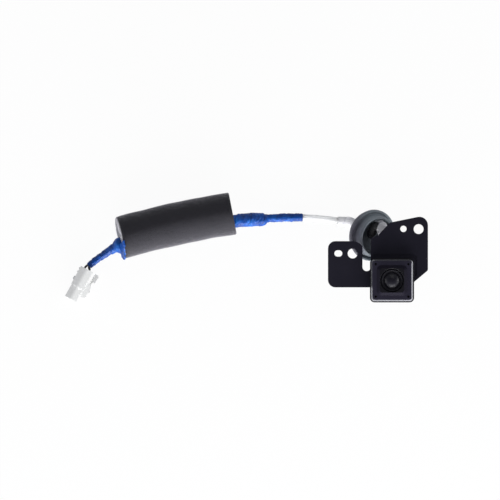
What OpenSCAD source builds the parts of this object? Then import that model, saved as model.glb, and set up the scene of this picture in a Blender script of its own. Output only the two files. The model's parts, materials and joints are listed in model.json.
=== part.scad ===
// Backup camera kit: a square camera head on its stamped steel bracket, with the lead, the panel grommet,
// the taped harness in its foam sleeve and the plug.
// The kit lies on a flat surface at z = 0 with the lens looking along +Z, and +X points away from the plug.

/* [Bracket] */
// Sheet thickness of the bracket
bracket_t = 1.2; // [1:0.1:1.4]
// Height of the bracket's front face above the surface
bracket_top = 22.5; // [22:0.1:22.8]
// Diameter of the two fixing holes
fix_hole_d = 5.3; // [5:0.1:6]
// Diameter of the round locating hole
locate_hole_d = 3.4; // [3:0.1:4]
// Width of the slot between the ear and the camera
notch_w = 4.45; // [3.8:0.05:4.6]
// Length of the tabs folded back beside the camera
tab_len = 12.6; // [10:0.1:14]

/* [Camera head] */
// Side of the square front case
front_w = 23.6; // [23.4:0.1:23.8]
// Side of the square rear case
rear_w = 17.8; // [17.6:0.1:17.9]
// Wall of the two cases
case_wall = 1.4; // [1.2:0.1:1.5]
// Height of the front case's flat face above the surface
face_top = 29; // [28.8:0.1:29.2]
// Rise of the lens surround above the flat face
surround_h = 1; // [0.6:0.1:1.2]
// Side of the lens surround at its foot
surround_w = 16.4; // [15.6:0.1:17]
// Outer diameter of the lens barrel
barrel_d = 11.6; // [11.4:0.1:11.7]
// Clear diameter of the front lens
front_lens_d = 8.8; // [8.4:0.1:9]

/* [Grommet] */
// Diameter of the grommet's lip
lip_d = 28; // [27.6:0.1:28.2]
// Diameter of the groove that the panel sits in
groove_d = 24.4; // [24:0.1:24.8]
// Width of that groove
groove_w = 1.1; // [0.8:0.1:1.2]
// Outer diameter of the collar that stands on the lip
collar_d = 22.3; // [22:0.1:22.6]
// Height of that collar
collar_h = 5.4; // [5:0.1:6]
// Lean of the grommet from upright
grommet_lean = 33; // [32:0.5:33.5]

/* [Lead and harness] */
// Diameter of the camera's lead
lead_d = 3.6; // [3.2:0.1:3.6]
// Diameter of the white cloth wraps on the lead
wrap_d = 5.8; // [5.2:0.1:5.9]
// Diameter of each plug wire
wire_d = 1.2; // [1:0.05:1.2]
// Diameter of the foam sleeve
foam_d = 21.8; // [21:0.1:22]
// Length of the foam sleeve
foam_len = 61.4; // [60:0.1:62]

/* [Plug] */
// Length of the plug housing
plug_len = 18.4; // [18:0.1:19]
// Width of the plug housing without its latch
plug_w = 7.4; // [7.2:0.1:7.6]
// Height of the plug housing as it lies
plug_h = 8.4; // [8.2:0.1:8.6]

/* [Hidden] */
$fn = 64;
eps = 0.01;

// Bracket levels and the camera's place on it
plate_z = bracket_top - bracket_t;
cam_x = 7.6;
cam_y = -11.3;
window_half = rear_w / 2 + 0.05;
bend_r = 0.6;
bend_out = window_half + bracket_t + bend_r;
tab_from = -15.1;
tab_to = -3.6;
notch_right = -3.9;
fix_holes = [[21.95, 16.4], [-13.7, 3.2]];
locate_hole = [13.75, 16.5];
locate_slot = [-21.4, 3.25];
bracket_screw_y = 2;
bracket_screw_z = 14.5;

// Case levels, measured up from the surface
front_r = 2.4;
flange_w = front_w - 2.8;
flange_t = 1.7;
seal_t = 0.6;
flange_top = bracket_top + flange_t;
seal_top = flange_top + seal_t;
hollow_top = face_top - case_wall;
cavity_w = rear_w - 2 * case_wall;
lens_bore_d = barrel_d + 0.6;
case_screw_at = 7.4;
case_screw_seat = 20.9;
corner_notch_r = 1.7;

// Boards, spacers and lens stack levels
board_w = cavity_w - 0.2;
board_t = 1;
processor_z = 6;
sensor_z = 17.5;
post_at = 6;
post_r = 1.45;
board_top = sensor_z + board_t;
barrel_z = 20.8;
barrel_r = barrel_d / 2;
seat_z = 28;
front_lens_r = 6.3;
lead_z = 13;
header_y = 6;

// Grommet: centre of its lip's face, and the way it leans
grommet_at = [-2.45, 12.88, 10.5];
grommet_turn = -23;
collar_wall = 1.4;
neck_end = 5.2;
bore_r = lead_d / 2;

// Foam sleeve and plug, by the ends that face each other
foam_at = [-139.3, 11.6, foam_d / 2];
foam_turn = 12;
foam_bore = [-4.2, -1.9];
foam_bore_r = 3.65;
foam_slant = 7;
plug_at = [-157.1, -5.2, 0];
plug_turn = 241;
wire_pitch = 2.6;
latch_hinge = [13.2, 5.6];
latch_r = 0.7;
latch_z = [2.4, 6];

// Route of the camera's lead, from the header in the camera to the joint inside the foam sleeve
lead_route = [[7.6, -5.3, 13], [7.6, 4.6, 13], [6.2, 8.2, 13.6], [4.3, 12.9, 14.1], [2.45, 17.5, 13.5],
    [0.9, 18.5, 12.7], [-1, 17, 11.9], [-2.4, 14.6, 10.7], [-3.25, 13.35, 9.2], [-3.9, 13.49, 8.07],
    [-5.06, 13.98, 6.14], [-6.2, 14.7, 4.5], [-7.7, 15.9, 3.5], [-10, 17.7, 3.1], [-15, 19.9, 3],
    [-22, 20.9, 2.6], [-30, 21.9, 2.2], [-40.6, 22.6, 2.2],
    [-50, 22.6, 2.4], [-57, 22.3, 2.8], [-59.5, 22.1, 3.2], [-62.5, 21.7, 4.2], [-69, 21.4, 6.4],
    [-75.5, 20.9, 8.6], [-77.4, 20.5, 9], [-100, 15.7, 9], [-108, 14, 9]];
// Outer radii of the wraps and the tape at the route points that they cover
cable_wrap_from = 2;
cable_wrap_r = [for (i = [0:3]) wrap_d / 2];
lead_boot_from = 5;
lead_boot_r = [2.4, 2.4, 2.4, 2.4];
neck_wrap_from = 11;
neck_wrap_r = [2.6, wrap_d / 2, wrap_d / 2, wrap_d / 2, 2.3];
front_tape_from = 17;
front_tape_r = [2.15, 2.15, 2.15, 2, 3.5, 3.7, 3.5, 3.5, 3.5];
// Route of the four plug wires, from the joint to the plug, and the tape over them
wire_route = [[-108, 14, 9], [-132, 8.9, 9], [-139.2, 7.3, 9], [-139.4, 7.3, 9], [-142.6, 6, 8.3],
    [-146, 3.9, 6.8], [-151, 0.5, 5], [-156.2, -3.4, 4.2]];
rear_tape_from = 1;
rear_tape_r = [3.4, 3.4, 4.6, 3.2, 2, 1.75, 1.75];
wire_gap = wire_d / 2;
wrap_slack = 0.03;

// Unit vector along v
function unit(v) = v / norm(v);
// Round corner of radius r at p, between its neighbours a and b
function corner(a, p, b, r, n) =
    let (u = unit(a - p), w = unit(b - p), half = acos(u * w) / 2, c = p + unit(u + w) * r / sin(half),
        s = p + u * r / tan(half) - c, e = p + w * r / tan(half) - c,
        start = atan2(s[1], s[0]), turn = atan2(e[1], e[0]) - start,
        arc = turn > 180 ? turn - 360 : turn < -180 ? turn + 360 : turn)
    r == 0 ? [p] : [for (i = [0:n]) c + r * [cos(start + arc * i / n), sin(start + arc * i / n)]];
// Closed outline through corners given as [x, y, radius], where radius 0 is a sharp corner
function rounded(pts, n = 6) =
    let (m = len(pts), at = [for (p = pts) [p[0], p[1]]])
    [for (i = [0:m - 1]) each corner(at[(i + m - 1) % m], at[i], at[(i + 1) % m], pts[i][2], n)];
// Part of a list, from index a to index b
function part_of(list, a, b) = [for (i = [a:b]) list[i]];

// Direction of a route at point i
function heading(route, i) = let (m = len(route) - 1)
    i == 0 ? unit(route[1] - route[0]) : i == m ? unit(route[m] - route[m - 1])
    : unit(unit(route[i + 1] - route[i]) + unit(route[i] - route[i - 1]));
// The two directions across a route at point i: level, and square to that
function level(route, i) = unit(cross([0, 0, 1], heading(route, i)));
function upward(route, i) = cross(heading(route, i), level(route, i));
// The same route moved aside by a level step and an upward step
function beside(route, dl, du) = [for (i = [0:len(route) - 1])
    route[i] + dl * level(route, i) + du * upward(route, i)];
// Ring of points round a route at point i
function ring(route, i, r, n) = [for (k = [0:n - 1]) let (a = 360 * (k + 0.5) / n)
    route[i] + r * (cos(a) * level(route, i) + sin(a) * upward(route, i))];

// Solid tube along a route, with a radius for each point
module tube(route, radii, n = 8) {
    m = len(route);
    polyhedron([for (i = [0:m - 1]) each ring(route, i, radii[i], n)],
        concat([[for (k = [0:n - 1]) k]],
            [for (i = [0:m - 2], k = [0:n - 1]) let (j = (k + 1) % n)
                [i * n + k, (i + 1) * n + k, (i + 1) * n + j, i * n + j]],
            [[for (k = [n - 1:-1:0]) (m - 1) * n + k]]));
}

// Tube with a bore of radius inner along a route
module sleeve(route, radii, inner, n = 8) {
    m = len(route);
    in = m * n;
    polyhedron([for (i = [0:m - 1]) each ring(route, i, radii[i], n),
            for (i = [0:m - 1]) each ring(route, i, inner, n)],
        [for (i = [0:m - 2], k = [0:n - 1]) let (j = (k + 1) % n, a = i * n, b = a + n) each
                [[a + k, b + k, b + j, a + j], [in + a + j, in + b + j, in + b + k, in + a + k]],
            for (k = [0:n - 1]) let (j = (k + 1) % n, e = (m - 1) * n) each
                [[k, j, in + j, in + k], [e + j, e + k, in + e + k, in + e + j]]]);
}

// Square with true round corners
module soft_square(w, r) {
    square([w, w - 2 * r], center = true);
    square([w - 2 * r, w], center = true);
    for (x = [-1, 1], y = [-1, 1]) translate([x, y] * (w / 2 - r)) circle(r);
}

// Square block of height h whose top edge is eased over a width e
module eased_block(w, h, r, e) {
    hull() for (a = [0:18:90]) translate([0, 0, a == 0 ? 0 : h - e + e * sin(a) - eps])
        linear_extrude(a == 0 ? h - e : eps)
            soft_square(w - 2 * e * (1 - cos(a)), r - e * (1 - cos(a)), $fn = 32);
}

// Plate centred on z, from z up to z + t
module level_plate(z, t) { translate([0, 0, z]) linear_extrude(t) children(); }
module at_camera() { translate([cam_x, cam_y, 0]) children(); }
module at_grommet() { translate(grommet_at) rotate([0, grommet_lean, grommet_turn]) children(); }
module at_foam() { translate(foam_at) rotate(foam_turn) children(); }
module at_plug() { translate(plug_at) rotate(plug_turn) children(); }
// The two corners that carry the case screws, and the two that carry the board posts
module screw_corners(d) { for (s = [-1, 1]) translate([s * d, s * d]) children(); }
module post_corners(d) { for (s = [-1, 1]) translate([s * d, -s * d]) children(); }

// Flat outline of the stamped sheet: the ear, the slot beside it, and the larger plate that holds the camera
module sheet_outline() {
    left = notch_right - notch_w;
    round_end = notch_w / 2 - 0.02;
    polygon(rounded([[-27, tab_from, 4], [-27, 9.9, 4], [-12, 9.9, 5], [left, 7.7, 3],
        [left, -6.3, round_end], [notch_right, -6.3, round_end], [notch_right, 11.4, 1],
        [0.2, 13.2, 2], [6.4, 19.9, 1.5],
        [27, 24.1, 4.6], [27, -5.9, 1.5], [19.6, -12.1, 1.5], [18.6, tab_from, 0.8]]));
}

// Band pressed into the sheet above and to the right of the camera
module stiffening_band() {
    intersection() {
        difference() {
            soft_square(front_w + 4.6, 3.4);
            soft_square(front_w + 1.4, 1.8);
        }
        translate([-10.3, 2.5]) square(front_w);
    }
}

// Bend and tab on the +X side of the camera
module folded_tab() {
    translate([0, tab_to, 0]) rotate([90, 0, 0]) linear_extrude(tab_to - tab_from)
        translate([bend_out, plate_z - bend_r]) intersection() {
            difference() {
                circle(bracket_t + bend_r);
                circle(bend_r);
            }
            translate([-4, 0]) square(4);
        }
    translate([window_half, 0, 0]) rotate([90, 0, 90]) linear_extrude(bracket_t)
        polygon(rounded([[tab_from, bracket_top - tab_len, 2], [tab_to, bracket_top - tab_len, 2],
            [tab_to, plate_z - bend_r, 0], [tab_from, plate_z - bend_r, 0]]));
}

module bracket() color("#26272b") difference() {
    union() {
        difference() {
            level_plate(plate_z, bracket_t) sheet_outline();
            at_camera() level_plate(plate_z - 1, bracket_t + 2) {
                translate([-window_half, -20]) square([2 * window_half, 20 + window_half]);
                translate([-bend_out, -20]) square([2 * bend_out, 20 + tab_to - cam_y]);
            }
        }
        translate([cam_x, 0, 0]) {
            folded_tab();
            mirror([1, 0, 0]) folded_tab();
        }
        at_camera() level_plate(plate_z - 0.4, 0.5) stiffening_band();
    }
    at_camera() level_plate(bracket_top - 0.4, 1) stiffening_band();
    for (at = fix_holes) translate([at[0], at[1], plate_z - 1]) cylinder(d = fix_hole_d, h = bracket_t + 2);
    translate([locate_hole[0], locate_hole[1], plate_z - 1]) cylinder(d = locate_hole_d, h = bracket_t + 2);
    translate([locate_slot[0], locate_slot[1], plate_z - 1]) linear_extrude(bracket_t + 2) {
        for (x = [-0.45, 0.45]) translate([x, 0]) circle(d = locate_hole_d);
        square([0.9, locate_hole_d], center = true);
    }
    at_camera() translate([-15, bracket_screw_y, bracket_screw_z])
        rotate([0, 90, 0]) cylinder(r = 1.1, h = 30);
}

// Pan-head screw: head of radius hr above z = 0 and a shank of length len below it, with a cross recess
module screw(hr, hh, r, len) {
    difference() {
        union() {
            intersection() {
                cylinder(r = hr, h = hh);
                translate([0, 0, hh - 1.9 * hr]) sphere(1.9 * hr);
            }
            translate([0, 0, -len]) cylinder(r = r, h = len + eps);
        }
        for (a = [0, 90]) rotate(a) translate([0, 0, hh]) cube([hr * 1.1, hr * 0.26, hh], center = true);
    }
}

module bracket_screws() color("#3a3a3e") at_camera() {
    for (side = [0, 1]) mirror([side, 0, 0])
        translate([window_half + bracket_t, bracket_screw_y, bracket_screw_z]) rotate([0, 90, 0])
            screw(1.9, 1.3, 0.95, 2.75);
}

// Front case: square bezel with eased edges, lens surround, lens bore and the posts for the case screws
module front_case() color("#1b1b1f") at_camera() {
    difference() {
        union() {
            translate([0, 0, bracket_top]) eased_block(front_w, face_top - bracket_top, front_r, 0.9);
            hull() {
                level_plate(face_top - 0.5, 0.5) soft_square(surround_w, 2.4, $fn = 32);
                level_plate(face_top + surround_h - eps, eps) soft_square(surround_w - 3.2, 1.6, $fn = 32);
            }
        }
        level_plate(bracket_top - 1, seal_top - bracket_top + 1) soft_square(flange_w + 0.1, 1.6);
        level_plate(seal_top - eps, hollow_top - seal_top) soft_square(flange_w - 2.2, 1.1);
        translate([0, 0, hollow_top - 1]) cylinder(d = lens_bore_d, h = 8);
        translate([0, 0, face_top + surround_h - 0.5])
            cylinder(r1 = lens_bore_d / 2, r2 = lens_bore_d / 2 + 0.5, h = 0.5 + eps);
    }
    screw_corners(case_screw_at) translate([0, 0, flange_top]) difference() {
        cylinder(r = 1.7, h = hollow_top - flange_top + 0.2);
        translate([0, 0, -1]) cylinder(r = 0.62, h = 3.6);
    }
}

// Outline of the rear case, with the two corners cut away for the case screws
module rear_outline() {
    difference() {
        soft_square(rear_w, 1.6);
        screw_corners(case_screw_at) circle(corner_notch_r);
    }
}

// Inside of the rear case, which keeps its wall round those corners
module rear_cavity() {
    difference() {
        soft_square(cavity_w, 1);
        screw_corners(case_screw_at) circle(corner_notch_r + 1.2);
    }
}

module rear_case() color("#202024") at_camera() difference() {
    union() {
        level_plate(case_screw_seat, flange_top - case_screw_seat) soft_square(rear_w, 1.6);
        level_plate(1, case_screw_seat - 1) rear_outline();
        hull() {
            level_plate(0, eps) soft_square(rear_w - 2, 1.2, $fn = 32);
            level_plate(1, eps) soft_square(rear_w - 0.02, 1.6, $fn = 32);
        }
        level_plate(bracket_top, flange_t) soft_square(flange_w, 1.5);
    }
    difference() {
        level_plate(case_wall, 30) rear_cavity();
        post_corners(post_at) cylinder(r = 1.9, h = processor_z);
    }
    screw_corners(case_screw_at) {
        translate([0, 0, -1]) cylinder(r = corner_notch_r, h = 2.1);
        cylinder(r = 0.85, h = 30);
    }
    post_corners(post_at) translate([0, 0, 2.4]) cylinder(r = 0.77, h = 5);
    translate([0, 5, lead_z]) rotate([-90, 0, 0]) cylinder(r = 2.9, h = 6);
    translate([-15, bracket_screw_y, bracket_screw_z]) rotate([0, 90, 0]) cylinder(r = 0.97, h = 30);
}

module case_seal() color("#4a4a4a") at_camera() level_plate(flange_top, seal_t) difference() {
    soft_square(flange_w, 1.5);
    soft_square(flange_w - 2.2, 1.1);
}

module case_screws() color("#b8bcc2") at_camera() screw_corners(case_screw_at)
    translate([0, 0, case_screw_seat]) mirror([0, 0, 1]) screw(1.5, 1.2, 0.6, 5);

// Lens holder: foot on the sensor board, and a threaded collar for the barrel
module lens_holder() color("#2a2a2a") at_camera() difference() {
    union() {
        level_plate(board_top, 1.8) soft_square(10.4, 1.5);
        translate([0, 0, board_top + 1.6]) cylinder(r = 6.9, h = 4.2);
    }
    level_plate(board_top - 1, 2.4) square(8, center = true);
    level_plate(board_top, 3) square(6, center = true);
    level_plate(board_top + 1.7, 3) square(7.1, center = true);
    translate([0, 0, board_top + 2.1]) cylinder(r = barrel_r + 0.05, h = 5);
}

// Lens barrel: stepped bore for the lenses, and an outer groove for the sealing ring
module lens_barrel() color("#101012") at_camera() difference() {
    translate([0, 0, barrel_z]) cylinder(r = barrel_r, h = seat_z + 0.8 - barrel_z);
    translate([0, 0, barrel_z - 1]) cylinder(r = 2.4, h = 3);
    translate([0, 0, barrel_z + 0.4]) cylinder(r = 3.1, h = 4);
    translate([0, 0, barrel_z + 3.7]) cylinder(r = 3.75, h = 8);
    translate([0, 0, seat_z]) cylinder(r = 4.85, h = 3);
    translate([0, 0, 26.6]) rotate_extrude() translate([barrel_r - 0.9, -0.6]) square([2, 1.2]);
}

module lens_retainer() color("#151517") at_camera() translate([0, 0, seat_z + 0.8]) difference() {
    cylinder(r = barrel_r, h = 1.1);
    translate([0, 0, -1]) cylinder(d = front_lens_d + 0.1, h = 4);
    translate([0, 0, 0.3]) cylinder(r1 = front_lens_d / 2 + 0.1, r2 = barrel_r - 0.35, h = 0.82);
}

// Front lens: domed outside, hollow behind, with a flat rim that seats in the barrel
module front_lens() color("#9fb4c8") at_camera() translate([0, 0, seat_z]) difference() {
    union() {
        cylinder(r = 4.8, h = 0.8);
        intersection() {
            translate([0, 0, 2.6 - front_lens_r]) sphere(front_lens_r);
            cylinder(d = front_lens_d, h = 4);
        }
    }
    translate([0, 0, 1.5 - 4]) sphere(4);
}

// Lens of radius r and thickness t at height z, hollowed from above and below by spheres
module inner_lens(r, t, z, top_r, low_r, sag) {
    at_camera() translate([0, 0, z]) difference() {
        cylinder(r = r, h = t);
        translate([0, 0, t - sag + top_r]) sphere(top_r);
        translate([0, 0, sag - low_r]) sphere(low_r);
    }
}

module second_lens() color("#a9bccb") inner_lens(3.7, 2, barrel_z + 3.8, 9, 6, 0.5);
module third_lens() color("#a9bccb") inner_lens(3.05, 1.5, barrel_z + 2.2, 12, 9, 0.25);
module rear_lens() color("#a9bccb") inner_lens(3.05, 1.5, barrel_z + 0.4, 9, 12, 0.25);

// Ring between two radii
module washer(outer, inner, z, t) {
    at_camera() translate([0, 0, z]) difference() {
        cylinder(r = outer, h = t);
        translate([0, 0, -1]) cylinder(r = inner, h = t + 2);
    }
}

module lens_spacer() color("#1c1c1c") washer(3.7, 3.2, barrel_z + 5.8, seat_z - barrel_z - 5.8);
module aperture_stop() color("#0c0c0c") washer(3.05, 1.1, barrel_z + 1.9, 0.3);

module ir_filter() color("#5fb0a8") at_camera() level_plate(board_top + 1.7, 0.4) square(7, center = true);

module lens_o_ring() color("#303030") at_camera() translate([0, 0, 26.6])
    rotate_extrude() translate([barrel_r - 0.32, 0]) circle(0.55, $fn = 32);

module image_sensor() color("#2b4a52") at_camera() level_plate(board_top, 1) square([7, 6.4], center = true);

// Board with its corners cleared for the case screws and drilled for the posts
module board(z) {
    at_camera() level_plate(z, board_t) difference() {
        soft_square(board_w, 0.8);
        screw_corners(case_screw_at) circle(corner_notch_r + 1.3);
        post_corners(post_at) circle(0.85);
    }
}

module sensor_board() color("#1f5a34") board(sensor_z);
module processor_board() color("#1f5a34") board(processor_z);

module board_link() color("#d8d2c0") at_camera()
    translate([-6.9, -4.5, processor_z + board_t]) cube([2.4, 7, sensor_z - processor_z - board_t]);

module board_spacers() color("#c9a24a") at_camera() post_corners(post_at)
    translate([0, 0, processor_z + board_t]) difference() {
        cylinder(r = post_r, h = sensor_z - processor_z - board_t);
        translate([0, 0, -1]) cylinder(r = 0.8, h = 14);
    }

module processor_chip() color("#222226") at_camera()
    level_plate(processor_z - 1, 1) square(5.2, center = true);

module shield_can() color("#c4c7cb") at_camera() difference() {
    level_plate(processor_z - 2.4, 2.4) soft_square(8.4, 0.6);
    level_plate(processor_z - 2.1, 3) soft_square(7.8, 0.4);
}

module board_screws() color("#b8bcc2") at_camera() post_corners(post_at)
    translate([0, 0, board_top]) screw(1.3, 0.8, 0.75, board_top - 3);

module cable_header() color("#ece8dc") at_camera() difference() {
    translate([-3.6, 2.7, processor_z + board_t]) cube([7.2, header_y - 2.7, 8.4]);
    translate([-2.9, 2, processor_z + board_t + 1.2]) cube([5.8, 2.4, 2.6]);
}

// Rubber gland: a flange inside the case wall, a ribbed boot outside it, and the bore that grips the lead
module cable_gland() color("#26262a") at_camera() translate([0, 0, lead_z]) rotate([-90, 0, 0])
    rotate_extrude() polygon([[bore_r, 6.7], [3.6, 6.7], [3.6, 7.5], [2.85, 7.5], [2.85, 8.9], [3.9, 8.9],
        [3.9, 10.2], [3.4, 10.4], for (k = [0:3]) each
            [[3.3 - 0.2 * k, 10.7 + 1.3 * k], [2.7 - 0.15 * k, 10.9 + 1.3 * k],
            [2.7 - 0.15 * k, 11.4 + 1.3 * k], [3.2 - 0.2 * k, 11.6 + 1.3 * k]], [2.5, 15.9], [bore_r, 15.9]]);

module camera_cable() color("#e9e9ea")
    tube(lead_route, [for (p = lead_route) lead_d / 2]);

module cable_wrap() color("#d9d9dc")
    sleeve(part_of(lead_route, cable_wrap_from, cable_wrap_from + 3), cable_wrap_r, lead_d / 2 + wrap_slack);

module lead_boot() color("#202022")
    sleeve(part_of(lead_route, lead_boot_from, lead_boot_from + 3), lead_boot_r, lead_d / 2 + wrap_slack);

module neck_wrap() color("#d9d9dc")
    sleeve(part_of(lead_route, neck_wrap_from, neck_wrap_from + 4), neck_wrap_r, lead_d / 2 + wrap_slack);

module front_tape() color("#2f5fb0")
    sleeve(part_of(lead_route, front_tape_from, front_tape_from + 8), front_tape_r, lead_d / 2 + wrap_slack);

module rear_tape() color("#2f5fb0")
    sleeve(part_of(wire_route, rear_tape_from, rear_tape_from + 6), rear_tape_r, wire_d * 1.25);

// Panel grommet: back lip, groove for the panel, front lip, and a collar open at its mouth with a floor below
module grommet() color("#35363c") at_grommet() rotate_extrude() {
    lip = lip_d / 2;
    groove = groove_d / 2;
    collar = collar_d / 2;
    mouth = collar - collar_wall;
    back = -1.9 - groove_w;
    polygon([[bore_r, -neck_end], [3, -neck_end], [3.3, 0.3 - neck_end], [3.5, -4.4], [4, -4.1],
        [groove + 0.6, -4.1], [groove + 0.9, -3.8], [groove + 0.9, back], [groove, back], [groove, -1.9],
        [lip - 0.3, -1.9], [lip, -1.6], [lip, -0.7], [lip - 0.2, -0.3], [lip - 0.6, -0.05], [lip - 1.4, 0],
        [collar + 0.6, 0.1], [collar + 0.2, 0.5],
        [collar, 1.2], [collar - 0.05, collar_h - 0.6], [collar - 0.35, collar_h - 0.15],
        [collar - 0.75, collar_h], [mouth + 0.3, collar_h - 0.1], [mouth, collar_h - 0.5], [mouth - 0.3, 0],
        [mouth - 0.8, -1.6], [mouth - 1.8, -2.5], [bore_r, -2.9]]);
}

// Foam sleeve: its left end is cut aslant, and the harness runs through below and beside its axis
module foam_sleeve() color("#4b4b50") at_foam() difference() {
    rotate([0, 90, 0]) translate([0, 0, -2]) cylinder(d = foam_d, h = foam_len + 2);
    translate([-3, foam_bore[0], foam_bore[1]])
        rotate([0, 90, 0]) cylinder(r = foam_bore_r, h = foam_len + 6);
    rotate([0, foam_slant, 0]) translate([-10, -foam_d, -foam_d]) cube([10, 2 * foam_d, 2 * foam_d]);
}

// Four wires: side by side under the tape, then fanned out to the plug's cavities
module plug_wires() color("#2a2a2c") for (l = [-1, 1], u = [-1, 1]) {
    under_tape = beside(wire_route, l * wire_gap, u * wire_gap);
    entry = [for (x = [-0.6, 1.9])
        plug_at + [x * cos(plug_turn) - l * wire_pitch / 2 * sin(plug_turn),
            x * sin(plug_turn) + l * wire_pitch / 2 * cos(plug_turn), plug_h / 2 + u * wire_pitch / 2]];
    tube(concat(under_tape, entry), [for (i = [0:len(wire_route) + 1]) wire_d / 2]);
}

// Repeats its child at the plug's four cavities
module cavities() {
    for (y = [-1, 1], z = [-1, 1]) translate([0, y * wire_pitch / 2, plug_h / 2 + z * wire_pitch / 2])
        rotate([90, 0, 90]) children();
}

// Plug housing: four cavities, a stepped nose, guard rails beside the latch and the seat of the latch's hinge
module plug_housing() color("#e8e8e6") at_plug() difference() {
    half = plug_w / 2;
    union() {
        translate([0, -half, 0]) cube([11, plug_w, plug_h]);
        translate([10, 0.3 - half, 0.3]) cube([plug_len - 10, plug_w - 0.6, plug_h - 0.6]);
        for (z = [0.5, 6.7]) translate([0, 0, z]) linear_extrude(1.2)
            polygon(rounded([[5.8, 0, 0], [14.6, 0, 0], [14.6, 6.8, 1.4], [7.2, 6.8, 1.4],
                [5.8, half, 0.6]]));
        translate([latch_hinge[0], 0, 1]) cube([1.4, 6.6, plug_h - 2]);
        for (x = [1, 3]) translate([x, -half - 0.35, 1.6]) cube([0.8, 1, plug_h - 3.2]);
    }
    cavities() {
        translate([0, 0, -1]) cylinder(d = wire_d + 0.3, h = 4, $fn = 24);
        translate([-0.95, -0.95, 2]) cube([1.9, 1.9, plug_len - 3.4]);
        translate([-0.55, -0.55, 2]) cube([1.1, 1.1, plug_len]);
    }
    translate([6.2, -half - 1, 1.1]) cube([2.2, 2.4, plug_h - 2.2]);
    translate([latch_hinge[0], latch_hinge[1], latch_z[0] - 0.1])
        cylinder(r = latch_r + 0.05, h = latch_z[1] - latch_z[0] + 0.2);
    translate([latch_hinge[0] - 2, half + 0.2, latch_z[0] - 0.1])
        cube([2 + eps, 4, latch_z[1] - latch_z[0] + 0.2]);
}

module plug_terminals() color("#c9b36a") at_plug() cavities() difference() {
    union() {
        translate([-0.8, -0.8, 9]) cube([1.6, 1.6, 7]);
        translate([-0.8, -0.8, 2.1]) cube([1.6, 0.3, 7]);
        for (x = [-0.8, 0.5]) translate([x, -0.8, 2.1]) cube([0.3, 1.3, 3]);
    }
    translate([-0.45, -0.45, 9.5]) cube([0.9, 0.9, 8]);
}

module plug_retainer() color("#d4d6da") at_plug() {
    translate([6.3, -plug_w / 2 - 0.4, 1.2]) cube([2, 1.7, plug_h - 2.4]);
    for (z = [2.2, 4.2, 6.2]) translate([6.6, -plug_w / 2 - 0.65, z - 0.25]) cube([1.4, 0.5, 0.5]);
}

// Latch arm with its hinge barrel, catch and ridged thumb pad
module plug_latch() color("#efefed") at_plug() {
    translate([0, 0, latch_z[0]]) linear_extrude(latch_z[1] - latch_z[0]) {
        translate(latch_hinge) circle(latch_r);
        polygon([[0.6, 5], [latch_hinge[0], 5], [latch_hinge[0], 6.2], [11, 6.2], [10.6, 7.4], [9.9, 7.4],
            [8.4, 6.2], [0.6, 6.2]]);
    }
    translate([0, 0, 1.6]) linear_extrude(plug_h - 3.2)
        polygon(rounded([[0.2, 5, 0.4], [5.4, 5, 0], [5.4, 6.4, 0], [4.6, 7.6, 0.3], [0.2, 7.6, 0.6]]));
    for (x = [1, 2.2, 3.4]) translate([x, 7.4, 2.2]) cube([0.5, 0.45, plug_h - 4.4]);
}

bracket();
bracket_screws();
front_case();
rear_case();
case_seal();
case_screws();
lens_holder();
lens_barrel();
lens_retainer();
front_lens();
second_lens();
lens_spacer();
aperture_stop();
third_lens();
rear_lens();
ir_filter();
lens_o_ring();
image_sensor();
sensor_board();
board_link();
board_spacers();
processor_board();
processor_chip();
shield_can();
board_screws();
cable_header();
cable_gland();
camera_cable();
cable_wrap();
lead_boot();
neck_wrap();
grommet();
front_tape();
foam_sleeve();
rear_tape();
plug_wires();
plug_housing();
plug_terminals();
plug_retainer();
plug_latch();
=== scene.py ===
import json
import math

import bmesh
import bpy
from mathutils import Matrix, Vector, noise


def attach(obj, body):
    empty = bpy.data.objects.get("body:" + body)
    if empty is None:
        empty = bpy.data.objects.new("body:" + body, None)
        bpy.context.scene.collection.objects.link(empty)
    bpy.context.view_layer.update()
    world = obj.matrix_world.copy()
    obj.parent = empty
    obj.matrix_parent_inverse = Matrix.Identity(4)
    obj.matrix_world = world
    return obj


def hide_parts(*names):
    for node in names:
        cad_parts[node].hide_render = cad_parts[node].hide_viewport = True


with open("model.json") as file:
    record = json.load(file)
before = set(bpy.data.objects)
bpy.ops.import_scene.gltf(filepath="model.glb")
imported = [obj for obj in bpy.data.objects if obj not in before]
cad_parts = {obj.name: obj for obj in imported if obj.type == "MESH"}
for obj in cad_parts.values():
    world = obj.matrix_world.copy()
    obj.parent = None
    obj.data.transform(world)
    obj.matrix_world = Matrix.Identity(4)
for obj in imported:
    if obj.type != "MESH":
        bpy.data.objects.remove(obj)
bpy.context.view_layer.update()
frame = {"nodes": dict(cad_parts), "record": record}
nodes = frame["nodes"]
up = Vector((0, 0, 1))
mm = 0.001  # the pieces' sizes and places are in millimetres, the studio's in metres
weld = 1e-4  # points closer than this are one
fullTurn = 2 * math.pi


def tint(r, g, b):
    # 0-255 swatch values to the linear colour that the shader wants
    def linear(value):
        share = value / 255
        return share / 12.92 if share < 0.04045 else ((share + 0.055) / 1.055) ** 2.4
    return linear(r), linear(g), linear(b), 1


class Wire:
    # a node's output that adds and multiplies like a number
    def __init__(self, shading, node, out):
        self.shading = shading
        self.node = node
        self.socket = node.outputs[out] if node.outputs else None

    def math(self, operation, *values):
        return self.shading.add("ShaderNodeMath", {"operation": operation}, dict(enumerate(values)))

    def __add__(self, other):
        return self.math("ADD", self, other)

    __radd__ = __add__

    def __rsub__(self, other):
        return self.math("SUBTRACT", other, self)

    def __mul__(self, other):
        return self.math("MULTIPLY", self, other)

    __rmul__ = __mul__

    def fraction(self):
        return self.math("FRACT", self)

    def sine(self):
        return self.math("SINE", self)

    def within(self, low, high):
        # 0 at low, 1 at high, eased and clamped
        return self.shading.add("ShaderNodeMapRange", {"interpolation_type": "SMOOTHSTEP"},
                                {"Value": self, "From Min": low, "From Max": high})


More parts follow.
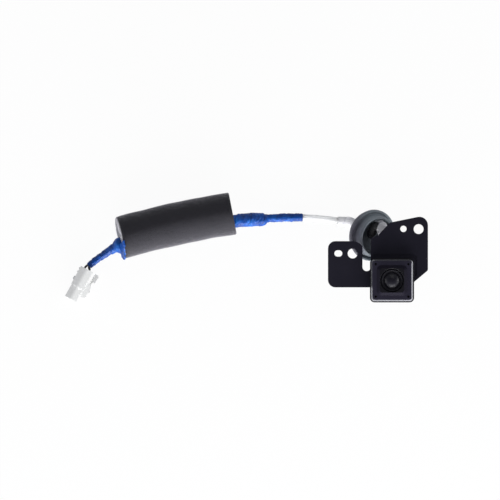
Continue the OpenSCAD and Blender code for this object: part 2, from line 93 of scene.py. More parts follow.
class Shading:
    # the emptied node tree of a material or a world; add() makes any node in it
    def __init__(self, owner):
        owner.use_nodes = True
        self.tree = owner.node_tree
        self.tree.nodes.clear()

    def add(self, kind, settings=None, inputs=None, out=0):
        node = self.tree.nodes.new(kind)
        for name, value in (settings or {}).items():
            if name == "stops":
                for at, shade in value[2:]:
                    node.color_ramp.elements.new(at)
                for element, (at, shade) in zip(node.color_ramp.elements, sorted(value)):
                    element.position = at
                    element.color = shade
            elif name == "rampEase":
                node.color_ramp.interpolation = value
            else:
                setattr(node, name, value)
        for name, value in (inputs or {}).items():
            self.plug(node.inputs[name], value)
        return Wire(self, node, out)

    def plug(self, socket, value):
        if isinstance(value, Wire):
            self.tree.links.new(value.socket, socket)
        else:
            socket.default_value = value

    def axes(self, at):
        # the separate X, Y and Z of coordinates
        split = self.add("ShaderNodeSeparateXYZ", None, {0: at}).node
        return [Wire(self, split, i) for i in range(3)]


class Finish(Shading):
    # one procedural material with a Principled shader
    def __init__(self, name, **surface):
        self.material = bpy.data.materials.new(name)
        super().__init__(self.material)
        self.shader = self.add("ShaderNodeBsdfPrincipled")
        self.output = self.add("ShaderNodeOutputMaterial", None, {"Surface": self.shader}).node
        self.dress(**surface)

    def dress(self, **surface):
        for name, value in surface.items():
            self.plug(self.shader.node.inputs[spelled[name]], value)

    def place(self, fineness=(1, 1, 1), turn=(0, 0, 0), centre=(0, 0, 0), source="Object"):
        # coordinates for a pattern, which is finer along an axis whose fineness is above 1
        at = self.add("ShaderNodeTexCoord", out=source)
        return self.add("ShaderNodeMapping", {"vector_type": "TEXTURE"},
                        {"Vector": at, "Location": centre, "Rotation": turn,
                         "Scale": tuple(1 / f for f in fineness)})

    def clouds(self, scale, at=None, detail=3, roughness=0.5, distortion=0):
        return self.add("ShaderNodeTexNoise", None,
                        {"Vector": at or self.place(), "Scale": scale, "Detail": detail,
                         "Roughness": roughness, "Distortion": distortion})

    def cells(self, scale, at=None, feature="F1"):
        return self.add("ShaderNodeTexVoronoi", {"feature": feature},
                        {"Vector": at or self.place(), "Scale": scale})

    def ramp(self, value, *stops):
        return self.add("ShaderNodeValToRGB", {"stops": stops}, {0: value})

    def blend(self, mask, low, high):
        return self.add("ShaderNodeMix", {"data_type": "RGBA"}, {0: mask, 6: low, 7: high}, 2)

    def emboss(self, height, depth, strength):
        return self.add("ShaderNodeBump", None, {"Height": height, "Distance": depth, "Strength": strength})


spelled = {"colour": "Base Color", "roughness": "Roughness", "metallic": "Metallic", "normal": "Normal",
           "ior": "IOR", "coat": "Coat Weight", "coatRoughness": "Coat Roughness",
           "sheen": "Sheen Weight", "sheenRoughness": "Sheen Roughness", "sheenTint": "Sheen Tint",
           "specular": "Specular IOR Level", "transmission": "Transmission Weight",
           "subsurface": "Subsurface Weight", "subsurfaceRadius": "Subsurface Radius",
           "subsurfaceScale": "Subsurface Scale"}


def newObject(name, data):
    made = bpy.data.objects.new(name, data)
    bpy.context.scene.collection.objects.link(made)
    return made


def meshFrom(name, bm):
    mesh = bpy.data.meshes.new(name)
    bm.to_mesh(mesh)
    bm.free()
    return mesh


def newPiece(name, bm, finish, body="kit", smoothAngle=35):
    for edge in bm.edges:
        edge.smooth = len(edge.link_faces) == 2 and edge.calc_face_angle(0) < math.radians(smoothAngle)
    for face in bm.faces:
        face.smooth = True
    piece = newObject(name, meshFrom(name, bm))
    piece.data.materials.append(finish.material)
    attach(piece, body)
    return piece


def smoothRoute(points, step, fineness=20):
    # evenly spaced points on one smooth curve through the given ones, which are in millimetres
    ends = [2 * points[0] - points[1]] + points + [2 * points[-1] - points[-2]]
    fine = []
    for a, b, c, d in zip(ends, ends[1:], ends[2:], ends[3:]):
        leaving, arriving = (c - a) * 0.5, (d - b) * 0.5
        for k in range(fineness):
            t = k / fineness
            fine.append((2 * t**3 - 3 * t**2 + 1) * b + (t**3 - 2 * t**2 + t) * leaving
                        + (3 * t**2 - 2 * t**3) * c + (t**3 - t**2) * arriving)
    fine.append(points[-1])
    lengths = [0]
    for a, b in zip(fine, fine[1:]):
        lengths.append(lengths[-1] + (b - a).length)
    count = max(2, round(lengths[-1] / step))
    out, k = [], 0
    for i in range(count + 1):
        wanted = lengths[-1] * i / count
        while k < len(fine) - 2 and lengths[k + 1] < wanted:
            k += 1
        share = (wanted - lengths[k]) / max(1e-9, lengths[k + 1] - lengths[k])
        out.append(fine[k].lerp(fine[k + 1], min(1, share)))
    return out


def routeLength(route):
    return sum((b - a).length for a, b in zip(route, route[1:]))


def cordCurve(name, route, diameter, finish):
    curve = bpy.data.curves.new(name, "CURVE")
    curve.dimensions = "3D"
    curve.bevel_depth = diameter / 2 * mm
    curve.bevel_resolution = 8
    curve.use_fill_caps = True
    spline = curve.splines.new("POLY")
    spline.points.add(len(route) - 1)
    for point, at in zip(spline.points, route):
        point.co = (*(at * mm), 1)
    curve.materials.append(finish.material)
    piece = newObject(name, curve)
    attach(piece, "kit")
    return piece


def wrapTube(name, route, radiusAt, finish, sides=48):
    # grid rolled into a tube round the route; radiusAt(distance along, angle) is in millimetres
    rings = len(route) - 1
    spacing = routeLength(route) / rings
    bm = bmesh.new()
    bm.loops.layers.uv.new("UVMap")
    bmesh.ops.create_grid(bm, x_segments=rings, y_segments=sides, size=0.5, calc_uvs=True)
    for vert in bm.verts:
        i = round((vert.co.x + 0.5) * rings)
        angle = (vert.co.y + 0.5) * fullTurn
        ahead = (route[min(i + 1, rings)] - route[max(i - 1, 0)]).normalized()
        side = up.cross(ahead).normalized()
        out = math.cos(angle) * side + math.sin(angle) * ahead.cross(side)
        vert.co = (route[i] + radiusAt(i * spacing, angle) * out) * mm
    bmesh.ops.remove_doubles(bm, verts=bm.verts, dist=weld * mm)
    bmesh.ops.holes_fill(bm, edges=[e for e in bm.edges if e.is_boundary], sides=0)
    bmesh.ops.recalc_face_normals(bm, faces=bm.faces)
    return newPiece(name, bm, finish, smoothAngle=60)


# how a CAD shape is merged and eased; its angles are in degrees
easing = {"merge": 0.002, "flatAngle": 0.8, "sharpAngle": 35, "segments": 2}


def softened(name, node, finish, width, body="kit", smoothAngle=50, reshape=None, bevelBelow=math.inf):
    # the CAD node's own shape, merged and with its hard edges eased
    bm = bmesh.new()
    bm.from_mesh(nodes[node].data)
    bmesh.ops.remove_doubles(bm, verts=bm.verts, dist=easing["merge"] * mm)
    if reshape:
        reshape(bm)
    flat, sharp = math.radians(easing["flatAngle"]), math.radians(easing["sharpAngle"])
    bmesh.ops.dissolve_limit(bm, angle_limit=flat, verts=bm.verts, edges=bm.edges)
    hard = [e for e in bm.edges if len(e.link_faces) == 2 and e.calc_face_angle(0) > sharp
            and max(v.co.z for v in e.verts) < bevelBelow * mm]
    bmesh.ops.bevel(bm, geom=hard, offset=width * mm, offset_type="OFFSET", segments=easing["segments"],
                    profile=0.5, affect="EDGES", clamp_overlap=True, material=-1)
    piece = newPiece(name, bm, finish, body, smoothAngle)
    if "custom_normal" in piece.data.attributes:
        piece.data.attributes.remove(piece.data.attributes["custom_normal"])
    weights = piece.modifiers.new("evenShading", "WEIGHTED_NORMAL")
    weights.keep_sharp = True
    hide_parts(node)
    return piece


studio = {
    "centre": (-0.0691, 0.0051), "cameraHeight": 1.5, "frameWidth": 0.27, "aimHeight": 0.01,
    "lamps": [
        # name, place, size, watts: low key from the front, weaker sides, high fill from behind
        ("frontStrip", (0.05, -0.9, 0.13), (1.6, 0.16), 21),
        ("frontKey", (0.08, -0.9, 0.62), (1.1, 0.35), 5),
        ("rightSide", (0.95, -0.1, 0.42), (0.7, 0.3), 2.6),
        ("leftSide", (-1.0, -0.15, 0.45), (0.7, 0.3), 1.8),
        ("backFill", (0.15, 0.85, 1.05), (0.8, 0.5), 2.0),
    ],
    # the room's tone from low to high, and its strength from the front to the back
    "sky": [(0.25, (0.80, 0.83, 0.86, 1)), (0.9, (0.075, 0.078, 0.086, 1))],
    "frontToBack": (-0.5, 0.9), "strength": (1, 0.55), "backdrop": (0.99, 0.99, 0.99, 1),
    "floorHalf": 1.2, "floorLevel": -0.0002, "paper": (238, 238, 239), "glow": (1, 1, 1, 1),
    "paleShare": 0.95, "mirrorShare": 0.35,
}


def makeCamera(s):
    lens = bpy.data.cameras.new("straightDown")
    lens.type = "ORTHO"
    lens.ortho_scale = s["frameWidth"]
    lens.clip_start, lens.clip_end = 0.01, 10
    camera = newObject("straightDown", lens)
    camera.location = (*s["centre"], s["cameraHeight"])
    bpy.context.scene.camera = camera


def makeLamps(s):
    for name, place, size, watts in s["lamps"]:
        lamp = bpy.data.lights.new(name, "AREA")
        lamp.shape = "RECTANGLE"
        lamp.size, lamp.size_y = size
        lamp.energy = watts
        holder = newObject(name, lamp)
        holder.location = Vector((*s["centre"], 0)) + Vector(place)
        aim = Vector((*s["centre"], s["aimHeight"])) - holder.location
        holder.rotation_euler = aim.to_track_quat("-Z", "Y").to_euler()


def makeRoom(s):
    # a soft room lights the pieces, and the camera sees a plain pale backdrop in its place
    world = bpy.data.worlds.new("softRoom")
    bpy.context.scene.world = world
    shading = Shading(world)
    back, height = shading.axes(shading.add("ShaderNodeTexCoord", out="Generated"))[1:]
    sky = shading.add("ShaderNodeValToRGB", {"rampEase": "EASE", "stops": s["sky"]}, {0: height})
    strength = shading.add("ShaderNodeMapRange", None,
                           {"Value": back, "From Min": s["frontToBack"][0], "From Max": s["frontToBack"][1],
                            "To Min": s["strength"][0], "To Max": s["strength"][1]})
    room = shading.add("ShaderNodeBackground", None, {"Color": sky, "Strength": strength})
    backdrop = shading.add("ShaderNodeBackground", None, {"Color": s["backdrop"]})
    seen = shading.add("ShaderNodeLightPath", out="Is Camera Ray")
    shown = shading.add("ShaderNodeMixShader", None, {0: seen, 1: room, 2: backdrop})
    shading.add("ShaderNodeOutputWorld", None, {"Surface": shown})


def makeFloor(s):
    # pale paper that keeps the shadows and looks nearly white to the camera and in reflections
    bm = bmesh.new()
    bmesh.ops.create_grid(bm, x_segments=1, y_segments=1, size=s["floorHalf"],
                          matrix=Matrix.Translation((*s["centre"], s["floorLevel"])))
    floor = newObject("paleFloor", meshFrom("paleFloor", bm))
    paper = Finish("palePaper", colour=tint(*s["paper"]), roughness=0.9, specular=0.2)
    seen = paper.add("ShaderNodeLightPath", out="Is Camera Ray")
    mirrored = paper.add("ShaderNodeLightPath", out="Is Glossy Ray")
    glow = paper.add("ShaderNodeEmission", None, {"Color": s["glow"], "Strength": 1})
    shown = paper.add("ShaderNodeMixShader", None,
                      {0: (seen + mirrored * s["mirrorShare"]) * s["paleShare"], 1: paper.shader, 2: glow})
    paper.plug(paper.output.inputs["Surface"], shown)
    floor.data.materials.append(paper.material)


makeCamera(studio)
makeLamps(studio)
makeRoom(studio)
makeFloor(studio)
bpy.context.scene.view_settings.view_transform = "Standard"
print("studio ready")


# light goes this far into the soft white stuff of the lead, in metres
whiteDepth = {"subsurfaceRadius": (0.015, 0.015, 0.015), "subsurfaceScale": 1}


def leadSheath():
    # soft white vinyl, pale right through
    f = Finish("leadSheath", roughness=0.42, specular=0.5, sheen=0.1, subsurface=1, **whiteDepth)
    grime = f.clouds(90, detail=4)
    f.dress(colour=f.blend(grime, tint(200, 200, 202), tint(210, 210, 211)),
            normal=f.emboss(f.clouds(700, detail=2), 0.00006, 0.5))
    return f


def clothWrap(name, length, pitch, pale=(224, 223, 227), deep=(192, 190, 200), soft=0):
    # woven cloth tape: fine weave across the winding, painted shade along each overlap step and dirt mottling
    # between
    f = Finish(name, roughness=0.85, sheen=0.25, sheenRoughness=0.5, subsurface=soft, **whiteDepth)
    threadSpacing, threadsAround = 0.42, 44
    along, around = f.axes(f.place(source="UV"))[:2]
    turn = (along * (length / pitch) + around).fraction()
    # edge falls to 0 along each overlap step, where the colour is painted darker as painted shade
    edge = turn.within(0, 0.12) * (1 - turn.within(0.9, 1))
    warp = (along * (length / threadSpacing * fullTurn)).sine()
    weft = (around * (threadsAround * fullTurn)).sine()
    soil = f.clouds(260, detail=4)
    f.dress(colour=f.blend(edge * (0.55 + 0.45 * soil), tint(*deep), tint(*pale)),
            normal=f.emboss(warp * weft * 0.5 + edge * 1.6 + soil * 0.8, 0.00012, 0.8))
    return f


def vinylTape(name, length, pitch, lift=1):
    # wound glossy tape: dark lines of painted shade along the overlaps, stress creases and a paler bloom
    # where it is stretched
    f = Finish(name, specular=0.26)
    along, around = f.axes(f.place(source="UV"))[:2]
    lap = (along * (length / pitch) + around).fraction().within(0, 0.05)
    pulled = f.place((0.45, 1.6, 1.2), turn=(0, 0, math.radians(35)))
    folds = f.clouds(420, pulled, detail=4, roughness=0.6, distortion=0.6)
    fine = f.clouds(1500)
    patches = f.clouds(160)
    navy, mid, pale = [tint(*(lift * c for c in tone))
                       for tone in ((4, 40, 100), (6, 64, 142), (16, 94, 178))]
    base = f.ramp(patches * 0.75 + folds * 0.25, (0.3, navy), (0.72, pale), (0.5, mid))
    # the dark navy along each overlap step is painted shade
    f.dress(colour=f.blend(lap, tint(1, 26, 76), base),
            roughness=0.3 + 0.2 * patches,
            normal=f.emboss(folds + fine * 0.2 + lap * 0.6, 0.00035, 0.55))
    return f


def foamSkin(name, deep, low, high, poreScale, relief, sheen):
    # open-cell foam: small dark cells in a soft skin that drifts in tone
    f = Finish(name, roughness=0.85, specular=0.5, sheen=sheen, sheenRoughness=0.34,
               sheenTint=(0.95, 0.93, 1, 1))
    cells = f.cells(poreScale).within(0.08, 0.5)
    coarse = f.clouds(380, detail=5, roughness=0.65)
    drift = f.clouds(45, detail=2)
    base = f.blend(coarse * 0.55 + drift * 0.45, tint(*low), tint(*high))
    f.dress(colour=f.blend(cells, tint(*deep), base),
            normal=f.emboss(cells * 0.6 + coarse, relief, 0.7))
    return f


def mouldedRubber(name, base, worn, paintedLightTone=None):
    # rubber with a grey bloom, and painted light toward +X when a third tone is given: the paler tone stands
    # in for light on that side
    f = Finish(name, specular=0.5, coat=0.05, coatRoughness=0.3)
    paintedLightFrom, paintedLightTo, paintedLightShare = -0.014, -0.003, 0.9
    bloom = f.clouds(140, detail=4)
    grain = f.clouds(2600, detail=2)
    shade = f.blend(bloom.within(0.35, 0.7), tint(*base), tint(*worn))
    if paintedLightTone:
        # painted light: the rubber turns to the paler third tone toward +X
        paintedLightMask = f.axes(f.place())[0].within(paintedLightFrom, paintedLightTo)
        shade = f.blend(paintedLightMask * paintedLightShare, shade, tint(*paintedLightTone))
    f.dress(colour=shade, roughness=0.42 + 0.2 * bloom,
            normal=f.emboss(grain + bloom * 0.6, 0.00005, 0.6))
    return f


def moulded(name, base, roughness=0.5, grain=2200, depth=0.00004, patch=0.06, **more):
    # moulded plastic: fine spark-eroded grain and a slow drift in tone
    f = Finish(name, **more)
    drift = f.clouds(80)
    deep = tint(*(c * (1 - patch) for c in base))
    pale = tint(*(min(255, c * (1 + patch)) for c in base))
    f.dress(colour=f.blend(drift, deep, pale), roughness=roughness - 0.06 + 0.12 * drift,
            normal=f.emboss(f.clouds(grain, detail=2), depth, 0.6))
    return f


# middle of the plug's wire end, the way it points, and half the width over which the painted shade along one
# side of the housing fades out
plug = {"at": (-157.1, -5.2, 4.2), "turn": 241, "shadeHalf": 1.2}


def plugNylon(name, paintedShadeTone, bright):
    # natural nylon, with painted shade greying one side of the housing
    f = Finish(name, specular=0.5, subsurface=0.15, subsurfaceRadius=(0.001, 0.001, 0.001), subsurfaceScale=1)
    turn = (0, 0, math.radians(plug["turn"]))
    across = f.axes(f.place(turn=turn, centre=tuple(c * mm for c in plug["at"])))[1]
    # painted shade: a grey band along one side of the housing, where it is turned from the light
    side = across.within(-plug["shadeHalf"] * mm, plug["shadeHalf"] * mm)
    drift = f.clouds(120)
    f.dress(colour=f.blend(side, tint(*paintedShadeTone), tint(*bright)), roughness=0.38 + 0.1 * drift,
            normal=f.emboss(f.clouds(1500, detail=2), 0.00004, 0.6))
    return f


def coatedSteel():
    # black coat over stamped sheet, with a faint orange peel
    f = Finish("coatedSteel", specular=0.22)
    peel = f.clouds(900, detail=2)
    drift = f.clouds(60)
    f.dress(colour=f.blend(drift, tint(24, 23, 33), tint(32, 30, 41)), roughness=0.36 + 0.12 * drift,
            normal=f.emboss(peel, 0.00005, 0.5))
    return f


def metal(name, base, roughness, fineness=(1, 1, 1)):
    # drawn or turned metal, with darker stains
    f = Finish(name, metallic=1)
    drawn = f.clouds(1200, f.place(fineness))
    stain = f.clouds(200)
    f.dress(colour=f.blend(stain, tint(*(c * 0.88 for c in base)), tint(*base)),
            roughness=roughness + 0.15 * drawn, normal=f.emboss(drawn, 0.00003, 0.5))
    return f


def coatedGlass(name, tone, roughness):
    # coated glass in the given tone, with a little dust
    f = Finish(name, colour=tone, ior=1.5, transmission=0.5, specular=0.05)
    dust = f.clouds(500, detail=4)
    f.dress(roughness=roughness + 0.05 * dust.within(0.5, 0.8))
    return f


def solderMask():
    # green board with a faint grid of tracks and pads under the lacquer
    f = Finish("solderMask", roughness=0.32, coat=0.3, coatRoughness=0.15)
    flat = (1, 1, 0.2)
    line = 1 - f.cells(900, f.place(flat), "DISTANCE_TO_EDGE").within(0.03, 0.09)
    pads = 1 - f.cells(520, f.place(flat)).within(0.1, 0.18)
    board = f.blend(line, tint(18, 74, 40), tint(34, 104, 58))
    f.dress(colour=f.blend(pads, board, tint(190, 180, 140)), normal=f.emboss(line + pads, 0.00003, 0.6))
    return f


finishes = {
    "bracket_coat": coatedSteel(),
    "screw_black": metal("blackZinc", (62, 62, 66), 0.38),
    "case_plastic": moulded("casePlastic", (41, 39, 51), 0.34, specular=0.12),
    "seal_rubber": mouldedRubber("sealRubber", (54, 54, 56), (66, 66, 68)),
    "screw_steel": metal("brightSteel", (196, 198, 202), 0.3),
    "lens_black": moulded("lensBlack", (17, 16, 22), grain=3200, specular=0.12),
    # the lens glass is tinted near black: painted shade standing in for the dark inside of the lens
    "lens_glass": coatedGlass("lensGlass", (0.014, 0.013, 0.022, 1), 0.34),
    "filter_glass": coatedGlass("filterGlass", (0.2, 0.42, 0.4, 1), 0.03),
    "sensor_die": moulded("sensorDie", (74, 92, 100), 0.2, coat=0.8),
    "board_green": solderMask(),
    "link_cream": moulded("linkCream", (214, 208, 186)),
    "post_brass": metal("turnedBrass", (214, 178, 104), 0.3, (1, 1, 6)),
    "chip_black": moulded("chipBlack", (40, 40, 42), 0.6),
    "can_steel": metal("tinnedCan", (204, 206, 208), 0.32),
    # the third tone is painted light toward +X
    "grommet_rubber": mouldedRubber("grommetRubber", (68, 66, 78), (92, 91, 103), (118, 127, 134)),
    "wire_black": moulded("wireBlack", (38, 38, 41), 0.4),
    # the first tone is the painted shade along one side of the housing
    "plug_white": plugNylon("plugNylon", (202, 202, 202), (238, 238, 237)),
    "retainer_grey": moulded("retainerGrey", (222, 223, 226), 0.45, patch=0.03),
    "terminal_tin": metal("tinnedBrass", (212, 190, 130), 0.3),
    "lead_white": leadSheath(),
}
for row in frame["record"]["subparts"]:
    slot = row["material_slot"]
    if slot in finishes:
        nodes[row["node"]].data.materials.clear()
        nodes[row["node"]].data.materials.append(finishes[slot].material)
print("finishes ready")


# camera lead, from the header in the camera to the joint inside the foam sleeve
lead = {
    "diameter": 3.6, "step": 0.8,
    "exit": (0.0076, 0.0046, 0.013),
    "route": [[7.6, -5.3, 13], [7.6, 4.6, 13], [5.8, 8.2, 13.6], [3.4, 13, 14.1], [2.3, 16.6, 14.2],
              [0.6, 18.2, 13.8], [-1.3, 17.9, 12.7], [-2.5, 16.3, 11.3], [-3.3, 14.6, 9.6], [-4.1, 13.8, 7.9],
              [-5.06, 13.98, 6.14], [-6.2, 14.7, 4.5], [-7.7, 15.9, 3.5], [-10, 17.7, 3.1], [-15, 19.9, 3],
              [-22, 20.9, 2.6], [-30, 21.9, 2.2], [-40.6, 22.6, 2.2], [-50, 22.6, 2.4], [-57, 22.3, 2.8],
              [-59.5, 22.1, 3.2], [-62.5, 21.7, 4.2], [-69, 21.4, 6.4], [-75.5, 20.9, 8.6], [-83, 19.3, 9],
              [-100, 15.7, 9], [-108, 14, 9]],
}
leadPoints = [Vector(p) for p in lead["route"]]
leadRoute = smoothRoute(leadPoints, lead["step"])
cameraLead = cordCurve("cameraLead", leadRoute, lead["diameter"], finishes["lead_white"])
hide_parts("camera_cable")


def stretchOf(points, first, radii, step):
    # finely stepped part of a route, from its first point on, with one point for each radius
    whole = smoothRoute(points, step)
    start, end = [min(range(len(whole)), key=lambda i: (whole[i] - points[k]).length)
                  for k in (first, first + len(radii) - 1)]
    return whole[start:end + 1]


def profileOf(points, first, radii, route, step=0.25):
    # radius along a stretch: eased between the radii given at the route's own points
    reached = [0] + [routeLength(smoothRoute(points[first:first + k + 1], step))
                     for k in range(1, len(radii))]
    scale = routeLength(route) / reached[-1]
    marks = [d * scale for d in reached]

    def radius(distance):
        for (a, ra), (b, rb) in zip(zip(marks, radii), zip(marks[1:], radii[1:])):
            if distance <= b + 1e-6:
                t = min(1, max(0, (distance - a) / (b - a)))
                t = t * t * (3 - 2 * t)
                return ra + (rb - ra) * t
        return radii[-1]
    return radius


# folds in a wound tape: how fast they change along, around and with the twist, and the coarse and fine ones;
# closing is the length over which each end comes down to the core
winding = {"along": 0.55, "around": 1.3, "twist": 0.35, "coarse": 1.3, "fine": 3.1, "fineShare": 0.4,
           "bias": 0.25, "closing": 0.5}


def wound(route, profile, pitch, layer, crease, core, seed):
    # radius of a tape wound in overlapping turns, with creases, closing onto the core at both ends
    total = routeLength(route)

    def radius(distance, angle):
        turn = distance / pitch + angle / fullTurn
        twisted = angle + distance * winding["twist"]
        spot = Vector((distance * winding["along"] + seed, math.cos(twisted) * winding["around"],
                       math.sin(twisted) * winding["around"]))
        fold = (abs(noise.noise(spot * winding["coarse"])) - winding["bias"]
                + winding["fineShare"] * noise.noise(spot * winding["fine"]))
        full = profile(distance) + layer * (turn - math.floor(turn) - 0.5) + crease * fold
        close = min(1, distance / winding["closing"], (total - distance) / winding["closing"])
        return core + (full - core) * math.sin(close * math.pi / 2)
    return radius


# white cloth wraps
wraps = [
    {"name": "mouthWrap", "node": "cable_wrap", "first": 2, "radii": [2.9, 3, 3.2, 3.3], "pitch": 4.2,
     "tones": [(224, 223, 227), (192, 190, 200)], "soft": 0},
    {"name": "neckWrap", "node": "neck_wrap", "first": 11, "radii": [2.6, 2.9, 2.9, 2.9, 2.3], "pitch": 5,
     "tones": [(218, 217, 221), (200, 198, 206)], "soft": 1},
]
wrapping = {"step": 0.2, "layer": 0.16, "crease": 0.16, "core": 1.75}
for w in wraps:
    route = stretchOf(leadPoints, w["first"], w["radii"], wrapping["step"])
    profile = profileOf(leadPoints, w["first"], w["radii"], route)
    finish = clothWrap(w["name"] + "Cloth", routeLength(route), w["pitch"], *w["tones"], w["soft"])
    radiusAt = wound(route, profile, w["pitch"], wrapping["layer"], wrapping["crease"], wrapping["core"],
                     seed=w["first"])
    w["piece"] = wrapTube(w["name"], route, radiusAt, finish)
    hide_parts(w["node"])

# loose end of the mouth wrap, pressed up against the grommet's wall
tail = {
    "foot": [(1.5, 15.2, 15.6), (-0.4, 15, 14.2)], "tip": [(2.6, 21.2, 15.4), (-1.9, 21.1, 13.4)],
    "thickness": 0.25, "steps": 16, "curl": 0.5, "rumple": 0.6, "rumpleScale": 3, "seed": 7,
    "droop": 1.2, "droopFrom": 0.75, "length": 6, "pitch": 9,
}


def makeTail(s):
    bm = bmesh.new()
    bm.loops.layers.uv.new("UVMap")
    bmesh.ops.create_grid(bm, x_segments=s["steps"], y_segments=s["steps"], size=0.5, calc_uvs=True)
    foot, tip = [[Vector(p) for p in s[k]] for k in ("foot", "tip")]
    for vert in bm.verts:
        u, v = vert.co.x + 0.5, vert.co.y + 0.5
        at = foot[0].lerp(foot[1], u).lerp(tip[0].lerp(tip[1], u), v)
        rumple = noise.noise(Vector((u * s["rumpleScale"], v * s["rumpleScale"], s["seed"])))
        at.z += s["curl"] * (math.sin(math.pi * u) + s["rumple"] * rumple)
        at.z -= s["droop"] * max(0, v - s["droopFrom"])
        vert.co = at * mm
    bmesh.ops.recalc_face_normals(bm, faces=bm.faces)
    bmesh.ops.solidify(bm, geom=bm.faces[:], thickness=s["thickness"] * mm)
    bmesh.ops.recalc_face_normals(bm, faces=bm.faces)
    return newPiece("wrapTail", bm, clothWrap("wrapTailCloth", s["length"], s["pitch"]), smoothAngle=60)


wrapTail = makeTail(tail)

# rubber boot between the mouth wrap and the grommet's floor
boot = {"first": 5, "radii": [2.4, 2.4, 2.35, 2.3, 2.25], "rib": 0.12, "pitch": 1.6, "step": 0.2}
bootRoute = stretchOf(leadPoints, boot["first"], boot["radii"], boot["step"])
bootProfile = profileOf(leadPoints, boot["first"], boot["radii"], bootRoute)


def ribbed(along, angle):
    return bootProfile(along) + boot["rib"] * math.cos(fullTurn * along / boot["pitch"])


leadBoot = wrapTube("leadBoot", bootRoute, ribbed, finishes["seal_rubber"])
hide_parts("lead_boot")

# plug wires, and the tape over the lead and over them
wires = {
    "diameter": 1.2, "gap": 0.6, "pitch": 2.6, "depths": (-0.6, 1.9), "step": 0.5,
    "route": [[-108, 14, 9], [-132, 8.9, 9], [-137.6, 7.65, 9], [-139.4, 7.3, 9], [-142.6, 6, 8.3],
              [-146, 3.9, 6.8], [-151, 0.5, 5], [-156.2, -3.4, 4.2]],
}
wirePoints = [Vector(p) for p in wires["route"]]


def wireStrand(s, level, rise):
    # the bundle's route moved to one side and up or down, then spread to its own hole in the plug
    strand = []
    for i, p in enumerate(wirePoints):
        near = wirePoints[max(i - 1, 0):i + 2]
        ahead = sum(((b - a).normalized() for a, b in zip(near, near[1:])), Vector()).normalized()
        side = up.cross(ahead).normalized()
        strand.append(p + s["gap"] * (level * side + rise * ahead.cross(side)))
    turn = Matrix.Rotation(math.radians(plug["turn"]), 3, "Z")
    for depth in s["depths"]:
        hole = Vector((depth, level * s["pitch"] / 2, rise * s["pitch"] / 2))
        strand.append(Vector(plug["at"]) + turn @ hole)
    return smoothRoute(strand, s["step"])


plugWires = []
for level in (-1, 1):
    for rise in (-1, 1):
        name = "plugWire" + "ab"[level > 0] + "12"[rise > 0]
        route = wireStrand(wires, level, rise)
        wire = cordCurve(name, route, wires["diameter"], finishes["wire_black"])
        plugWires.append((wire, route))
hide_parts("plug_wires")

tapes = [
    {"name": "frontTape", "node": "front_tape", "points": leadPoints, "first": 17, "core": 1.75, "pitch": 8,
     "radii": [2.15, 2.15, 2.15, 2, 3.5, 3.7, 3.5, 3.5, 3.5], "crease": 0.42, "lift": 1.08},
    {"name": "rearTape", "node": "rear_tape", "points": wirePoints, "first": 1, "core": 1.4, "pitch": 7,
     "radii": [3.4, 3.7, 4.6, 2.6, 2.1, 1.85, 1.75], "crease": 0.5, "lift": 1},
]
taping = {"step": 0.25, "layer": 0.22, "sides": 64}
for t in tapes:
    route = stretchOf(t["points"], t["first"], t["radii"], taping["step"])
    profile = profileOf(t["points"], t["first"], t["radii"], route)
    finish = vinylTape(t["name"] + "Vinyl", routeLength(route), t["pitch"], t["lift"])
    radiusAt = wound(route, profile, t["pitch"], taping["layer"], t["crease"], t["core"], seed=t["first"])
    t["piece"] = wrapTube(t["name"], route, radiusAt, finish, taping["sides"])
    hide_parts(t["node"])
print("lead, wraps, wires and tape ready")


# foam sleeve; its left end is cut at a slant, and it bows and leans a little
foam = {
    "centre": (-139.3, 11.6, 10.9), "turn": 12, "length": 62.3, "radius": 11.7, "segments": 96,
    "slant": 7, "bow": 1, "lean": 1, "rise": 0.3, "bore": (-4.2, -1.9), "boreRadius": 3.6, "mouthDepth": 6,
    # how far the skin lies inside the radius, its slow swell and its fine grain
    "shrink": 0.12, "swell": 0.3, "swellPitch": (0.09, 0.9), "swellBias": 0.25,
    "grain": 0.05, "grainScale": 9,
    # the eased rim, the skin's lowest level over the table, and what counts as a cut end
    "rim": 0.7, "rimEase": 0.5, "lowest": 0.05, "cutFacing": 0.75, "cutDepth": 1,
    "skin": foamSkin("foamSkin", (13, 12, 17), (22, 20, 28), (33, 31, 41), 1700, 0.0003, 1),
    # the cut ends: paler than the skin, partly the open cut cells and partly painted light on the end faces
    "cut": foamSkin("foamCutPaintedLight", (84, 83, 88), (128, 127, 132), (160, 159, 164), 1300, 0.0005, 0.8),
}


def slantOf(s):
    return math.tan(math.radians(s["slant"]))


def foamPlace(s):
    turn = Matrix.Rotation(math.radians(s["turn"]), 4, "Z")
    return Matrix.Translation(Vector(s["centre"]) * mm) @ turn @ Matrix.Scale(mm, 4)


def foamRadius(s, share, angle):
    spot = Vector((share * s["length"] * s["swellPitch"][0], math.cos(angle) * s["swellPitch"][1],
                   math.sin(angle) * s["swellPitch"][1]))
    swell = s["swell"] * (noise.noise(spot) - s["swellBias"])
    grain = s["grain"] * noise.noise(spot * s["grainScale"])
    edge = min(share, 1 - share) * s["length"]
    return s["radius"] - s["shrink"] + swell + grain - s["rimEase"] * max(0, 1 - edge / s["rim"]) ** 2


def cutMouth(s, bm, ring, atFarEnd):
    # closes one end of the skin with a cut face, and goes in a little way at the bore
    grown = bmesh.ops.extrude_edge_only(bm, edges=ring)["geom"]
    for vert in [g for g in grown if isinstance(g, bmesh.types.BMVert)]:
        across = Vector((vert.co.y - s["bore"][0], vert.co.z - s["bore"][1])).normalized() * s["boreRadius"]
        y, z = across.x + s["bore"][0], across.y + s["bore"][1]
        vert.co = Vector((s["length"] if atFarEnd else z * slantOf(s), y, z))
    rim = [g for g in grown if isinstance(g, bmesh.types.BMEdge) and g.is_boundary]
    deeper = bmesh.ops.extrude_edge_only(bm, edges=rim)["geom"]
    for vert in [g for g in deeper if isinstance(g, bmesh.types.BMVert)]:
        vert.co.x += -s["mouthDepth"] if atFarEnd else s["mouthDepth"]


